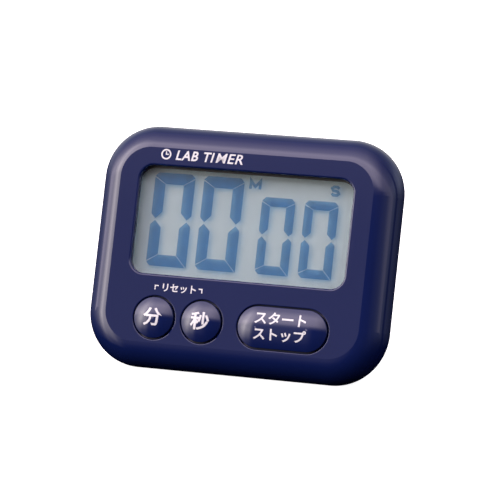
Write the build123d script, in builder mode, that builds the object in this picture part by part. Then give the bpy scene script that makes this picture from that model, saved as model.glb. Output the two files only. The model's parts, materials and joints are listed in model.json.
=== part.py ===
"""Bench timer with a tilting stand: glossy two-shell case, display, keys, board, cell and buzzer.

Millimetres. +X is to the right as the user faces the timer, +Y runs away from the user, +Z is up.
The origin is the middle of the footprint on the bench. The timer stands open on its leg, so the
case leans back. Most pieces are drawn on FACE, the plane of the front of the case, in (x, u), with
u up the face, and at a depth d behind it.
"""

import os
from math import acos, asin, atan2, cos, degrees, hypot, radians, sin, sqrt

from build123d import *

# ---------------------------------------------------------------- driving dimensions
lean = 20.5  # how far the face leans back on the open stand, degrees

case_w = 88.0
case_h = 68.8
case_depth = 21.8
case_corner_r = 15.5
front_edge_r = 7.6
front_crease = 0.04  # the front is cut flat this far into the round of its edge
front_wall = 2.0

rear_inset = 3.4  # the rear shell is this much smaller than the front one, all round
rear_wall = 1.8
rear_edge_r = 6.6
flange_t = 1.1  # rim of the rear shell that sits inside the skirt of the front one
flange_gap = 0.15
lug_t = 0.65

window_w = 62.8
window_h = 30.7
window_u = 7.15
window_corner_r = 4.0
window_edge_r = 0.6
lens_lap = 1.8  # how far the window pane runs behind the case wall
lens_t = 0.8
adhesive_t = 0.1
tape_inset = 0.3  # from the window's edge to the tape, at the sides and below
tape_peek = 0.6  # the tape shows this far below the window's upper edge
rib_t = 1.0
rib_gap = 0.1

key_u = -20.5
minute_x = -22.5
second_x = -8.45
start_x = 15.3
round_hole_r = 6.2
start_hole_r = 6.25
start_half_span = 7.1  # from the middle of the long key to the middle of each round end
key_hole_edge_r = 0.3
key_gap = 0.4  # between a key and the edge of its hole
key_edge = 0.35  # how far the key's rim stands out of the face
key_rise = 1.35  # from the rim to the top of the crown
key_rim_r = 0.3
key_lip = 0.9  # flange that keeps the key in, beyond the cap
key_lip_t = 1.0
key_lip_gap = 0.1
key_travel = 1.0
stem_r = 2.2

board_front = 7.0
board_t = 1.0
board_gap = 0.5
board_foot_w = 59.6  # width of the lower part, between the screw posts
board_step_u = -12.6
board_corner_r = 9.8
board_screw_x = 36.4
board_screw_us = (16.0, -4.0)
board_boss_r = 1.8
board_screw_r = 0.75
board_peg_places = ((-0.12, -25.5), (0.0, 26.9))
board_peg_r = 1.2

lcd_w = 65.6
lcd_top = 23.2
lcd_bottom = -8.9  # of the rear glass
lcd_ledge = 2.3  # the front glass reaches lower than the rear one, for its contacts
glass_t = 1.0
polariser_t = 0.2
crystal_t = 0.05
seal_w = 0.5
lcd_front = 3.2  # depth of the front glass
lcd_frame_wall = 1.25
lcd_gap = 0.1

digit_segment_gap = 0.26
digit_corner_cut = 1.1
big_digit = dict(w=12.0, low=-5.65, high=21.0, waist=7.6, stroke=3.25)
big_digit_xs = (-22.25, -7.65)
small_digit = dict(w=9.8, low=-5.5, high=16.3, waist=5.45, stroke=2.55)
small_digit_xs = (8.95, 21.55)
unit_mark_h = 2.35
unit_mark_stroke = 0.8
unit_mark_u = 19.45
minute_mark_x = 1.6
minute_mark_w = 2.8
second_mark_x = 25.05
second_mark_w = 2.1

sheet_half_w = 29.4
sheet_top = -12.9
sheet_bottom = -27.6
sheet_t = 0.8
dome_base_r = 4.0
dome_top_r = 2.7
dome_web = 0.5
dome_plug = 1.0
pill_r = 1.5
pill_t = 0.5
pad_r = 2.2
pad_t = 0.05

cell_r = 5.25
cell_length = 44.5
cell_nub = 0.8
cell_nub_r = 1.9
cell_gap = 0.75  # round the cell, in its bay
cell_x = 9.85
cell_u = 14.5
bay_floor = 9.2
bay_wall = 1.0
bay_spring_room = 5.6
bay_contact_room = 1.4
floor_t = 0.8
contact_t = 0.3
contact_w = 9.0
spring_wire_r = 0.35
spring_big_r = 4.0
spring_small_r = 2.2

door_x = 7.75
door_w = 52.5
door_low = 7.0
door_high = 22.0
door_t = 1.6
door_gap = 0.15
hook_xs = (-8.0, 23.5)
hook_w = 5.0
hook_reach = 1.2
hook_t = 1.15
hook_leg = 1.4
tongue_w = 8.0
tongue_t = 1.0
tongue_length = 2.4

hinge_u = -1.0
hinge_d = 19.9
leg_w = 34.0
leg_t = 2.0
leg_gap = 0.3
leg_pocket_gap = 0.2
leg_lip = 0.45  # how far the leg's tip passes the lower edge of the rear shell
barrel_r = 1.9
hinge_floor = 1.2  # wall under the hollow that the leg's heel turns in
pin_r = 1.2
pin_length = 1.8
pin_clearance = 0.05
heel = 1.9
stop_gap = 0.05

magnet_r = 6.0
magnet_t = 3.0
magnet_x = 26.5
magnet_u = -4.0
magnet_gap = 0.05
well_wall = 1.3

case_screw_x = 33.2
case_screw_u = -16.0
case_screw_r = 0.95
case_screw_head_r = 2.0
case_screw_head_t = 1.5
case_screw_seat = 11.5
case_screw_length = 7.4
front_post_r = 2.6
rear_post_r = 3.3
post_meet = 9.0
screw_hole_gap = 0.05
screw_floor = 1.2  # left under the screw holes in the front shell

buzzer_x = -29.0
buzzer_u = 14.5
buzzer_r = 8.0
buzzer_t = 0.25
ceramic_r = 5.5
ceramic_t = 0.25
buzzer_ring_t = 0.9
buzzer_ring_h = 1.4
sound_hole_r = 0.7
sound_hole_pitch = 2.6

lug_x = 18.0
lug_w = 8.0
lug_reach = 0.8
lug_gap = 0.05
rest_low = -6.0
rest_high = 8.0
rest_reach = 1.6
rest_front = 3.0
overlap = 0.4  # how far ribs and bosses are rooted in the wall that carries them
gap = 0.1  # between pieces that meet but are not joined


# ---------------------------------------------------------------- frames of reference
def tilted(angle, origin=(0, 0, 0)):
    """Plane with X across the timer and a normal that points at the user, leaning back by angle."""
    turn = radians(angle)
    return Plane(origin=origin, x_dir=(1, 0, 0), z_dir=(0, -cos(turn), sin(turn)))


FACE = tilted(lean)
OUTWARD = Axis((0, 0, 0), FACE.z_dir)


def depth(d):
    """Drawing plane at depth d behind the face. Extruding by a negative amount goes deeper."""
    return FACE.offset(-d)


def place(x, u, d):
    """World position of a point given by its place on the face and its depth."""
    return FACE.from_local_coords((x, u, -d))


def across(x, u=0.0, d=0.0):
    """Plane square to X, with its own x up the face and its own y towards the user."""
    return Plane(origin=place(x, u, d), x_dir=FACE.y_dir, z_dir=(1, 0, 0))


def block(x0, x1, u0, u1, d0, d1, mode=Mode.ADD):
    """Rectangular block between two corners, for use inside a part."""
    with BuildSketch(depth(d0)) as outline:
        with Locations(((x0 + x1) / 2, (u0 + u1) / 2)):
            Rectangle(x1 - x0, u1 - u0)
    extrude(outline.sketch, amount=d0 - d1, mode=mode)


def disc(places, r, d0, d1, mode=Mode.ADD):
    """Round bosses, pegs or holes at places on the face, from depth d0 to depth d1."""
    with BuildSketch(depth(d0)) as outline:
        with Locations(*places):
            Circle(r)
    extrude(outline.sketch, amount=d0 - d1, mode=mode)


def rounded(w, h, r, x=0.0, u=0.0, d=0.0):
    """Rounded rectangle at a depth behind the face."""
    with BuildSketch(depth(d)) as outline:
        with Locations((x, u)):
            RectangleRounded(w, h, r)
    return outline.sketch


def mirrored(x):
    return (x, -x)


def crown_arc(r, edge, rise):
    """Half of a spherical crown in section: from its top at (0, edge + rise) to its rim at (r, edge)."""
    sphere_r = (r * r + rise * rise) / (2 * abs(rise))
    half_way = asin(r / sphere_r) / 2
    drop = sphere_r * (1 - cos(half_way))
    mid_height = edge + rise - drop if rise > 0 else edge + rise + drop
    return ThreePointArc((0, edge + rise), (sphere_r * sin(half_way), mid_height), (r, edge))


# ---------------------------------------------------------------- sizes that follow
side_wall = front_wall + front_crease
front_inner_w = case_w - 2 * side_wall
front_inner_h = case_h - 2 * side_wall
front_inner_r = case_corner_r - side_wall
rear_w = case_w - 2 * rear_inset
rear_h = case_h - 2 * rear_inset
rear_r = case_corner_r - rear_inset
rear_inner_w = rear_w - 2 * rear_wall
rear_inner_h = rear_h - 2 * rear_wall
rear_inner_r = rear_r - rear_wall
rear_floor = case_depth - rear_wall
inner_edge_r = front_edge_r - side_wall
clear_of_round = sqrt(inner_edge_r**2 - (inner_edge_r - flange_gap)**2)
flange_front = front_edge_r - front_crease - 0.9 * clear_of_round
flange_back = flange_front + flange_t
skirt_depth = flange_back + lug_gap + lug_t  # how far the front shell reaches back

lens_w = window_w + 2 * lens_lap
lens_h = window_h + 2 * lens_lap
lens_r = window_corner_r + lens_lap
lens_front = front_wall + adhesive_t
lens_back = lens_front + lens_t

lcd_h = lcd_top - lcd_bottom
lcd_u = (lcd_top + lcd_bottom) / 2
ledge_low = lcd_bottom - lcd_ledge
front_glass_h = lcd_top - ledge_low
front_glass_u = (lcd_top + ledge_low) / 2
crystal_front = lcd_front + glass_t
rear_glass_front = crystal_front + crystal_t
reflector_front = rear_glass_front + glass_t
lcd_back = reflector_front + polariser_t

board_back = board_front + board_t
board_top = rear_inner_h / 2 - board_gap
board_w = rear_inner_w - 2 * board_gap
sheet_front = board_front - sheet_t

key_back = front_wall + key_lip_gap
stem_end = sheet_front - (dome_plug + key_travel - 0.2)
round_key_r = round_hole_r - key_gap
start_key_r = start_hole_r - key_gap
pill_front = stem_end + dome_plug
keys = {
    "minute": (minute_x, 0.0, round_key_r, round_hole_r),
    "second": (second_x, 0.0, round_key_r, round_hole_r),
    "start_stop": (start_x, start_half_span, start_key_r, start_hole_r),
}

cell_d = bay_floor + 0.3 + cell_r
bay_low = cell_u - cell_r - cell_gap
bay_high = cell_u + cell_r + cell_gap
bay_left = cell_x - cell_length / 2 - bay_spring_room
bay_right = cell_x + cell_length / 2 + bay_contact_room
door_front = case_depth - door_t
door_left = door_x - door_w / 2
door_right = door_x + door_w / 2
seat_front = door_front - gap

leg_front = hinge_d - leg_gap + 0.2
leg_length = hinge_u + rear_h / 2 + leg_lip
foot_r = leg_t / 2
leg_middle = case_depth - foot_r - hinge_d
rest_height = (hinge_u + case_h / 2) * cos(radians(lean)) - (hinge_d - skirt_depth) * sin(radians(lean))
foot_reach = hypot(leg_length - foot_r, leg_middle)
foot_lead = degrees(atan2(leg_middle, leg_length - foot_r))
open_angle = degrees(acos((rest_height - foot_r) / foot_reach)) + lean - foot_lead
pocket_floor = case_depth - leg_t - leg_pocket_gap
heel_reach = hypot(heel, case_depth - hinge_d)
pocket_top = hinge_u + heel_reach + stop_gap

well_floor = case_depth - magnet_t
buzzer_ring_front = rear_floor - buzzer_ring_h
ceramic_front = buzzer_ring_front - buzzer_t - ceramic_t

# ---------------------------------------------------------------- case, front
with BuildPart() as front_case:
    extrude(rounded(case_w, case_h, case_corner_r, d=-front_crease),
            amount=-front_crease - skirt_depth)
    fillet(front_case.faces().sort_by(OUTWARD)[-1].edges(), front_edge_r)
    offset(amount=-side_wall, openings=front_case.faces().sort_by(OUTWARD)[0])
    split(bisect_by=FACE, keep=Keep.BOTTOM)

    # rib that locates the window pane
    extrude(rounded(lens_w + 2 * (rib_t + rib_gap), lens_h + 2 * (rib_t + rib_gap),
                    lens_r + rib_t + rib_gap, u=window_u, d=front_wall - overlap),
            amount=front_wall - overlap - lens_back)
    extrude(rounded(lens_w + 2 * rib_gap, lens_h + 2 * rib_gap, lens_r + rib_gap,
                    u=window_u, d=front_wall),
            amount=-skirt_depth, mode=Mode.SUBTRACT)

    # window, with a small round on its edge
    opening = rounded(window_w, window_h, window_corner_r, u=window_u)
    extrude(opening, amount=-skirt_depth, mode=Mode.SUBTRACT)
    fillet(front_case.faces().sort_by(OUTWARD)[-1].inner_wires()[0].edges(), window_edge_r)

    # key holes
    for key_x, half_span, _, hole_r in keys.values():
        with BuildSketch(FACE) as key_hole:
            with Locations((key_x, key_u)):
                if half_span:
                    SlotCenterToCenter(2 * half_span, 2 * hole_r)
                else:
                    Circle(hole_r)
        extrude(key_hole.sketch, amount=-skirt_depth, mode=Mode.SUBTRACT)
    hole_wires = front_case.faces().sort_by(OUTWARD)[-1].inner_wires().sort_by(SortBy.LENGTH)
    fillet([edge for wire in hole_wires[: len(keys)] for edge in wire.edges()], key_hole_edge_r)

    # bosses and pegs for the board, and the two posts that the case screws bite into
    board_bosses = [(x, u) for x in mirrored(board_screw_x) for u in board_screw_us]
    disc(board_bosses, board_boss_r, front_wall - overlap, board_front)
    disc(board_bosses, board_screw_r + screw_hole_gap, front_wall + screw_floor, board_front,
         Mode.SUBTRACT)
    disc(board_peg_places, board_peg_r, front_wall - overlap, board_front)
    case_posts = [(x, case_screw_u) for x in mirrored(case_screw_x)]
    disc(case_posts, front_post_r, front_wall - overlap, post_meet)
    disc(case_posts, case_screw_r + screw_hole_gap, front_wall + screw_floor, post_meet,
         Mode.SUBTRACT)

    # snap lugs under the top edge, and rests that set the depth of the rear shell
    for x in mirrored(lug_x):
        block(x - lug_w / 2, x + lug_w / 2, front_inner_h / 2 - lug_reach,
              front_inner_h / 2 + overlap, flange_back + lug_gap, skirt_depth)
    for x in mirrored(front_inner_w / 2 - rest_reach / 2 + overlap / 2):
        block(x - rest_reach / 2, x + rest_reach / 2, rest_low, rest_high,
              rest_front, flange_front - lug_gap)
    front_case.part.label = "front_case"

# ---------------------------------------------------------------- case, rear
with BuildPart() as rear_case:
    extrude(rounded(rear_w, rear_h, rear_r, d=flange_front), amount=flange_front - case_depth)
    fillet(rear_case.faces().sort_by(OUTWARD)[0].edges(), rear_edge_r)
    offset(amount=-rear_wall, openings=rear_case.faces().sort_by(OUTWARD)[-1])

    # rim that sits inside the skirt of the front shell
    with BuildSketch(depth(flange_front)) as rim:
        RectangleRounded(front_inner_w - 2 * flange_gap, front_inner_h - 2 * flange_gap,
                         front_inner_r - flange_gap)
        RectangleRounded(rear_inner_w, rear_inner_h, rear_inner_r, mode=Mode.SUBTRACT)
    extrude(rim.sketch, amount=-flange_t)

    # solid material for the cell bay, its door seat, the stand, the magnets, screws and buzzer
    block(bay_left - bay_wall, bay_right + bay_wall, bay_low - bay_wall, bay_high + bay_wall,
          bay_floor - floor_t, rear_floor + overlap)
    block(door_left - 1.5, door_right + 1.4, door_low - 1.6, door_high + 1.4,
          seat_front - 1.3, rear_floor + overlap)
    block(-leg_w / 2 - 3.0, leg_w / 2 + 3.0, -rear_h / 2 + 2.15, pocket_top + 3.0,
          pocket_floor - 1.4, rear_floor + overlap)
    block(-leg_w / 2 - 3.3, leg_w / 2 + 3.3, hinge_u - heel_reach - 1.2, pocket_top + 1.2,
          hinge_d - heel_reach - stop_gap - hinge_floor, rear_floor + overlap)
    magnet_places = [(x, magnet_u) for x in mirrored(magnet_x)]
    disc(magnet_places, magnet_r + well_wall, well_floor - 1.0, rear_floor + overlap)
    disc(case_posts, rear_post_r, post_meet + gap, rear_floor + overlap)
    disc([(buzzer_x, buzzer_u)], buzzer_r + buzzer_ring_t, buzzer_ring_front, rear_floor + overlap)
    disc([(buzzer_x, buzzer_u)], buzzer_r - 0.7, buzzer_ring_front, rear_floor, Mode.SUBTRACT)

    # cell bay and the seat of its door
    block(bay_left, bay_right, bay_low, bay_high, bay_floor, case_depth, Mode.SUBTRACT)
    block(door_left - door_gap, door_right + door_gap, door_low - door_gap, door_high + door_gap,
          seat_front, case_depth, Mode.SUBTRACT)
    for x in hook_xs:
        block(x - hook_w / 2 - 0.3, x + hook_w / 2 + 0.3, door_low - hook_reach - 0.3,
              door_low + 3.4, case_depth - 3.5, seat_front, Mode.SUBTRACT)
    block(door_x - tongue_w / 2 - 0.4, door_x + tongue_w / 2 + 0.4, bay_high, door_high + 0.75,
          door_front - tongue_length - 0.4, case_depth, Mode.SUBTRACT)
    disc([(door_x, door_high)], 5.5, case_depth - 1.2, case_depth, Mode.SUBTRACT)
    for x in (bay_left + 0.25, bay_right - 0.45):
        block(x - 0.45, x + 0.65, cell_u - 1.8, cell_u + 1.8, bay_floor - 1.0, bay_floor,
              Mode.SUBTRACT)

    # pocket, hinge bores and stop edge for the stand leg
    block(-leg_w / 2 - leg_gap, leg_w / 2 + leg_gap, -case_h / 2, pocket_top, pocket_floor,
          case_depth, Mode.SUBTRACT)
    with BuildSketch(across(0, hinge_u, hinge_d)) as heel_hollow:
        Circle(heel_reach + stop_gap)
    extrude(heel_hollow.sketch, amount=leg_w / 2 + leg_gap, both=True, mode=Mode.SUBTRACT)
    with BuildSketch(across(0, hinge_u, hinge_d)) as pin_bore:
        Circle(pin_r + pin_clearance)
    extrude(pin_bore.sketch, amount=leg_w / 2 + pin_length + 0.2, both=True, mode=Mode.SUBTRACT)

    # magnet wells, screw wells and sound holes
    disc(magnet_places, magnet_r + magnet_gap, well_floor, case_depth, Mode.SUBTRACT)
    disc(case_posts, case_screw_head_r + 0.25, case_screw_seat, case_depth, Mode.SUBTRACT)
    disc(case_posts, case_screw_r + 0.2, post_meet, case_screw_seat, Mode.SUBTRACT)
    with BuildSketch(depth(rear_floor - overlap)) as sound_holes:
        with Locations((buzzer_x, buzzer_u)):
            Circle(sound_hole_r)
            with PolarLocations(sound_hole_pitch, 6):
                Circle(sound_hole_r)
    extrude(sound_holes.sketch, amount=rear_floor - overlap - case_depth, mode=Mode.SUBTRACT)
    rear_case.part.label = "rear_case"

# ---------------------------------------------------------------- window pane
with BuildPart() as display_window:
    extrude(rounded(lens_w, lens_h, lens_r, u=window_u, d=lens_front), amount=-lens_t)
    display_window.part.label = "display_window"

with BuildPart() as window_adhesive:
    with BuildSketch(depth(front_wall)) as tape:
        with Locations((0, window_u)):
            RectangleRounded(lens_w, lens_h, lens_r)
        with Locations((0, window_u - (tape_inset + tape_peek) / 2)):
            RectangleRounded(window_w + 2 * tape_inset, window_h + tape_inset - tape_peek,
                             window_corner_r + tape_inset, mode=Mode.SUBTRACT)
    extrude(tape.sketch, amount=-adhesive_t)
    window_adhesive.part.label = "window_adhesive"


# ---------------------------------------------------------------- liquid crystal display
with BuildPart() as lcd_front_polariser:
    block(-lcd_w / 2, lcd_w / 2, lcd_bottom, lcd_top, lcd_front - polariser_t, lcd_front)
    lcd_front_polariser.part.label = "lcd_front_polariser"

with BuildPart() as lcd_front_glass:
    block(-lcd_w / 2, lcd_w / 2, ledge_low, lcd_top, lcd_front, crystal_front)
    lcd_front_glass.part.label = "lcd_front_glass"

with BuildPart() as lcd_seal:
    with BuildSketch(depth(crystal_front)) as seal_line:
        with Locations((0, lcd_u)):
            Rectangle(lcd_w, lcd_h)
            Rectangle(lcd_w - 2 * seal_w, lcd_h - 2 * seal_w, mode=Mode.SUBTRACT)
    extrude(seal_line.sketch, amount=-crystal_t)
    lcd_seal.part.label = "lcd_seal"


def digit_outlines(x, w, low, high, waist, stroke):
    """The six bars of a nought: three of its corners are cut, and the waist is pointed."""
    left, right = x - w / 2, x + w / 2
    slit = digit_segment_gap
    cut = digit_corner_cut
    point = 0.4 * stroke  # the pointed ends sit nearer the outside of the bar
    inner = stroke + slit / 2
    bars = [[(left, high - cut), (left + cut, high), (right - cut, high), (right, high - cut),
             (right - inner, high - stroke), (left + inner, high - stroke)],
            [(left, low + cut), (left + cut, low), (right - slit, low),
             (right - inner, low + stroke), (left + inner, low + stroke)]]
    for side, inward in ((left, 1), (right, -1)):
        for end, down in ((high, -1), (low, 1)):
            mitred = side == right and end == low  # the bar that runs right into its corner
            bars.append([(side, end + down * (0 if mitred else cut + slit)),
                         (side + inward * stroke, end + down * (stroke + slit / 2)),
                         (side + inward * stroke, waist - down * (stroke - point + slit)),
                         (side + inward * point, waist - down * slit),
                         (side, waist - down * (point + slit))])
    return bars


# strokes of the two unit letters, in a box from -0.5 to 0.5 each way
letter_m = ((-0.5, -0.5), (-0.5, 0.5), (0.0, -0.2), (0.5, 0.5), (0.5, -0.5))
letter_s = ((0.5, 0.3), (0.25, 0.5), (-0.25, 0.5), (-0.5, 0.3), (-0.3, 0.05), (0.3, -0.05),
            (0.5, -0.3), (0.25, -0.5), (-0.25, -0.5), (-0.5, -0.3))

with BuildPart() as lcd_segments:
    with BuildSketch(depth(crystal_front)) as lit_marks:
        for digit, xs in ((big_digit, big_digit_xs), (small_digit, small_digit_xs)):
            for x in xs:
                for bar in digit_outlines(x, **digit):
                    with BuildLine():
                        Polyline(*bar, close=True)
                    make_face()
        for strokes, x, w in ((letter_m, minute_mark_x, minute_mark_w),
                              (letter_s, second_mark_x, second_mark_w)):
            with BuildLine():
                Polyline(*[(x + px * w, unit_mark_u + py * unit_mark_h)
                           for px, py in strokes])
            trace(line_width=unit_mark_stroke)
    extrude(lit_marks.sketch, amount=-crystal_t)
    lcd_segments.part.label = "lcd_segments"

with BuildPart() as lcd_rear_glass:
    block(-lcd_w / 2, lcd_w / 2, lcd_bottom, lcd_top, rear_glass_front, reflector_front)
    lcd_rear_glass.part.label = "lcd_rear_glass"

with BuildPart() as lcd_reflector:
    block(-lcd_w / 2, lcd_w / 2, lcd_bottom, lcd_top, reflector_front, lcd_back)
    lcd_reflector.part.label = "lcd_reflector"

frame_half_w = lcd_w / 2 + lcd_gap + lcd_frame_wall
with BuildPart() as lcd_frame:
    block(-frame_half_w, frame_half_w, ledge_low - lcd_gap - lcd_frame_wall,
          lcd_top + lcd_gap + lcd_frame_wall, lens_back + gap, board_front)
    block(-lcd_w / 2 - lcd_gap, lcd_w / 2 + lcd_gap, ledge_low - lcd_gap, lcd_top + lcd_gap,
          lens_back + gap, lcd_back + lcd_gap, Mode.SUBTRACT)
    block(-lcd_w / 2 + 2.0, lcd_w / 2 - 2.0, lcd_bottom + 2.0, lcd_top - 2.0,
          lcd_back, board_front, Mode.SUBTRACT)
    block(-lcd_w / 2, lcd_w / 2, ledge_low, lcd_bottom - 0.4, lcd_back, board_front, Mode.SUBTRACT)
    lcd_frame.part.label = "lcd_frame"

with BuildPart() as zebra_strip:
    block(-lcd_w / 2 + 1.0, lcd_w / 2 - 1.0, ledge_low + 0.2, lcd_bottom - 0.6,
          crystal_front, board_front)
    zebra_strip.part.label = "zebra_strip"

# ---------------------------------------------------------------- circuit board
with BuildPart() as circuit_board:
    with BuildSketch(depth(board_front)) as board_outline:
        with Locations((0, (board_top + board_step_u) / 2)):
            Rectangle(board_w, board_top - board_step_u)
        with Locations((0, 0)):
            Rectangle(board_foot_w, 2 * board_top)
        corners = board_outline.vertices().group_by(Axis.Y)[-1]
        fillet(corners, board_corner_r)
        with Locations(*board_bosses):
            Circle(board_screw_r + 0.35, mode=Mode.SUBTRACT)
    extrude(board_outline.sketch, amount=-board_t)
    circuit_board.part.label = "circuit_board"

with BuildPart() as switch_pads:
    with BuildSketch(depth(board_front - pad_t)) as contact_pads:
        for key_x, _, _, _ in keys.values():
            for side in (-1, 1):
                with Locations((key_x + side * (pad_r / 2 + 0.15), key_u)):
                    Rectangle(pad_r, 2 * pad_r)
    extrude(contact_pads.sketch, amount=-pad_t)
    switch_pads.part.label = "switch_pads"

chip_x, chip_u, chip_r, chip_h = 2.0, -10.5, 5.0, 1.4
with BuildPart() as chip_blob:
    with BuildSketch(across(chip_x, chip_u, board_back)) as blob_section:
        with BuildLine():
            crown_arc(chip_r, 0, -chip_h)
            Polyline((chip_r, 0), (0, 0), (0, -chip_h))
        make_face()
    revolve(blob_section.sketch, axis=Axis(place(chip_x, chip_u, board_back), FACE.z_dir))
    chip_blob.part.label = "chip_blob"

crystal_x, crystal_u, crystal_r, crystal_length = 12.5, -9.5, 1.0, 6.0
with BuildPart() as watch_crystal:
    with BuildSketch(across(crystal_x, crystal_u, board_back + crystal_r)) as can:
        Circle(crystal_r)
    extrude(can.sketch, amount=crystal_length)
    fillet(watch_crystal.faces().sort_by(Axis.X)[-1].edges(), 0.3)
    watch_crystal.part.label = "watch_crystal"

smd_places = ((-14.0, -8.0), (-14.0, -12.0), (-9.0, -17.0), (-3.0, -19.0), (6.0, -18.0),
              (12.0, -16.0), (24.0, 2.0), (30.0, 4.0))
with BuildPart() as smd_parts:
    with BuildSketch(depth(board_back)) as chips:
        with Locations(*smd_places):
            Rectangle(2.0, 1.25)
    extrude(chips.sketch, amount=-0.6)
    smd_parts.part.label = "smd_parts"

capacitor_x, capacitor_u, capacitor_r, capacitor_h = 22.0, -9.5, 2.5, 6.5
with BuildPart() as capacitor:
    disc([(capacitor_x, capacitor_u)], capacitor_r, board_back, board_back + capacitor_h)
    fillet(capacitor.faces().sort_by(OUTWARD)[0].edges(), 0.4)
    capacitor.part.label = "capacitor"

with BuildPart() as board_screws:
    disc(board_bosses, board_screw_r, front_wall + 1.6, board_back)
    disc(board_bosses, 1.7, board_back, board_back + 1.0)
    with BuildSketch(depth(board_back + 0.5)) as board_slots:
        with Locations(*board_bosses):
            Rectangle(2.0, 0.45)
            Rectangle(0.45, 2.0)
    extrude(board_slots.sketch, amount=-1.0, mode=Mode.SUBTRACT)
    board_screws.part.label = "board_screws"

with BuildPart() as case_screws:
    disc(case_posts, case_screw_r, case_screw_seat - case_screw_length, case_screw_seat)
    disc(case_posts, case_screw_head_r, case_screw_seat, case_screw_seat + case_screw_head_t)
    with BuildSketch(depth(case_screw_seat + case_screw_head_t - 0.9)) as case_slots:
        with Locations(*case_posts):
            Rectangle(2.4, 0.55)
            Rectangle(0.55, 2.4)
    extrude(case_slots.sketch, amount=-2.0, mode=Mode.SUBTRACT)
    case_screws.part.label = "case_screws"


# ---------------------------------------------------------------- keys
def key_section(key_x, cap_r, both_sides=False):
    """Section of a key through its axis: crowned cap, the lip that keeps it in, and the stem."""
    with BuildSketch(across(key_x, key_u)) as section:
        with BuildLine():
            crown_arc(cap_r, key_edge, key_rise)
            Polyline((cap_r, key_edge), (cap_r, -key_back), (cap_r + key_lip, -key_back),
                     (cap_r + key_lip, -key_back - key_lip_t), (stem_r, -key_back - key_lip_t),
                     (stem_r, -stem_end), (0, -stem_end), (0, key_edge + key_rise))
        make_face()
        rim = section.vertices().sort_by_distance((cap_r, key_edge, 0))[0]
        fillet(rim, key_rim_r)
        if both_sides:
            mirror(about=Plane.YZ)
    return section.sketch


def key_body(key_x, half_span, cap_r):
    """A round key, or a long one with round ends."""
    for end_x in sorted({key_x - half_span, key_x + half_span}):
        revolve(key_section(end_x, cap_r), axis=Axis(place(end_x, key_u, 0), FACE.z_dir))
    if half_span:
        extrude(key_section(key_x, cap_r, both_sides=True), amount=half_span, both=True)


with BuildPart() as minute_button:
    key_body(minute_x, 0.0, round_key_r)
    minute_button.part.label = "minute_button"

with BuildPart() as second_button:
    key_body(second_x, 0.0, round_key_r)
    second_button.part.label = "second_button"

with BuildPart() as start_stop_button:
    key_body(start_x, start_half_span, start_key_r)
    start_stop_button.part.label = "start_stop_button"

# ---------------------------------------------------------------- rubber keypad
with BuildPart() as keypad_sheet:
    block(-sheet_half_w, sheet_half_w, sheet_bottom, sheet_top, sheet_front, board_front)
    disc([(key_x, key_u) for key_x, _, _, _ in keys.values()], dome_base_r - dome_web,
         sheet_front, board_front, Mode.SUBTRACT)
    disc([board_peg_places[0]], board_peg_r + 0.4, sheet_front, board_front, Mode.SUBTRACT)
    keypad_sheet.part.label = "keypad_sheet"


def dome(key_x):
    """Rubber dome under a key: a thin cone on the sheet that carries a plug at its top."""
    with BuildSketch(across(key_x, key_u)) as section:
        with BuildLine():
            Polyline((dome_base_r, -sheet_front), (dome_top_r, -stem_end), (0, -stem_end),
                     (0, -pill_front), (dome_top_r - dome_web, -pill_front),
                     (dome_base_r - dome_web, -sheet_front), close=True)
        make_face()
    revolve(section.sketch, axis=Axis(place(key_x, key_u, 0), FACE.z_dir))


domes = []
pills = []
for name, (key_x, _, _, _) in keys.items():
    with BuildPart() as key_dome:
        dome(key_x)
        key_dome.part.label = name + "_dome"
    with BuildPart() as key_pill:
        disc([(key_x, key_u)], pill_r, pill_front, pill_front + pill_t)
        key_pill.part.label = name + "_pill"
    domes.append(key_dome)
    pills.append(key_pill)

# ---------------------------------------------------------------- buzzer
with BuildPart() as buzzer_disc:
    disc([(buzzer_x, buzzer_u)], buzzer_r, buzzer_ring_front - buzzer_t, buzzer_ring_front)
    buzzer_disc.part.label = "buzzer_disc"

with BuildPart() as buzzer_ceramic:
    disc([(buzzer_x, buzzer_u)], ceramic_r, ceramic_front, ceramic_front + ceramic_t)
    buzzer_ceramic.part.label = "buzzer_ceramic"

strip_t = 0.2
strip_places = ((buzzer_x, ceramic_front), (buzzer_x + 6.7, ceramic_front + ceramic_t))
with BuildPart() as buzzer_springs:
    for x, touch_d in strip_places:
        with BuildSketch(across(x, buzzer_u, 0)) as strip:
            with BuildLine():
                FilletPolyline((-9.5, -board_back - strip_t / 2), (-5.5, -board_back - strip_t / 2),
                               (0, -touch_d + strip_t / 2), (2.0, -touch_d + 1.6), radius=0.8)
            trace(line_width=strip_t)
        extrude(strip.sketch, amount=0.7, both=True)
    block(buzzer_x - 1.0, buzzer_x + 1.0, buzzer_u - 9.4, buzzer_u - 9.2, board_back,
          board_back + strip_t)
    buzzer_springs.part.label = "buzzer_springs"

# ---------------------------------------------------------------- cell and its contacts
cell_left = cell_x - cell_length / 2
cell_right = cell_x + cell_length / 2
with BuildPart() as battery_cell:
    with BuildSketch(across(cell_left, cell_u, cell_d)) as cell_can:
        Circle(cell_r)
    extrude(cell_can.sketch, amount=cell_length - cell_nub)
    fillet(battery_cell.edges().filter_by(GeomType.CIRCLE), 0.35)
    with BuildSketch(across(cell_right - cell_nub - overlap, cell_u, cell_d)) as nub:
        Circle(cell_nub_r)
    extrude(nub.sketch, amount=cell_nub + overlap)
    battery_cell.part.label = "battery_cell"


def contact_plate(x):
    """Sprung sheet contact: a plate at the end of the bay with a tab down to the board."""
    block(x, x + contact_t, cell_u - contact_w / 2, cell_u + contact_w / 2,
          bay_floor + 1.2, cell_d + contact_w / 2)
    block(x, x + contact_t, cell_u - 1.5, cell_u + 1.5, board_back, bay_floor + 1.2)


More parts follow.
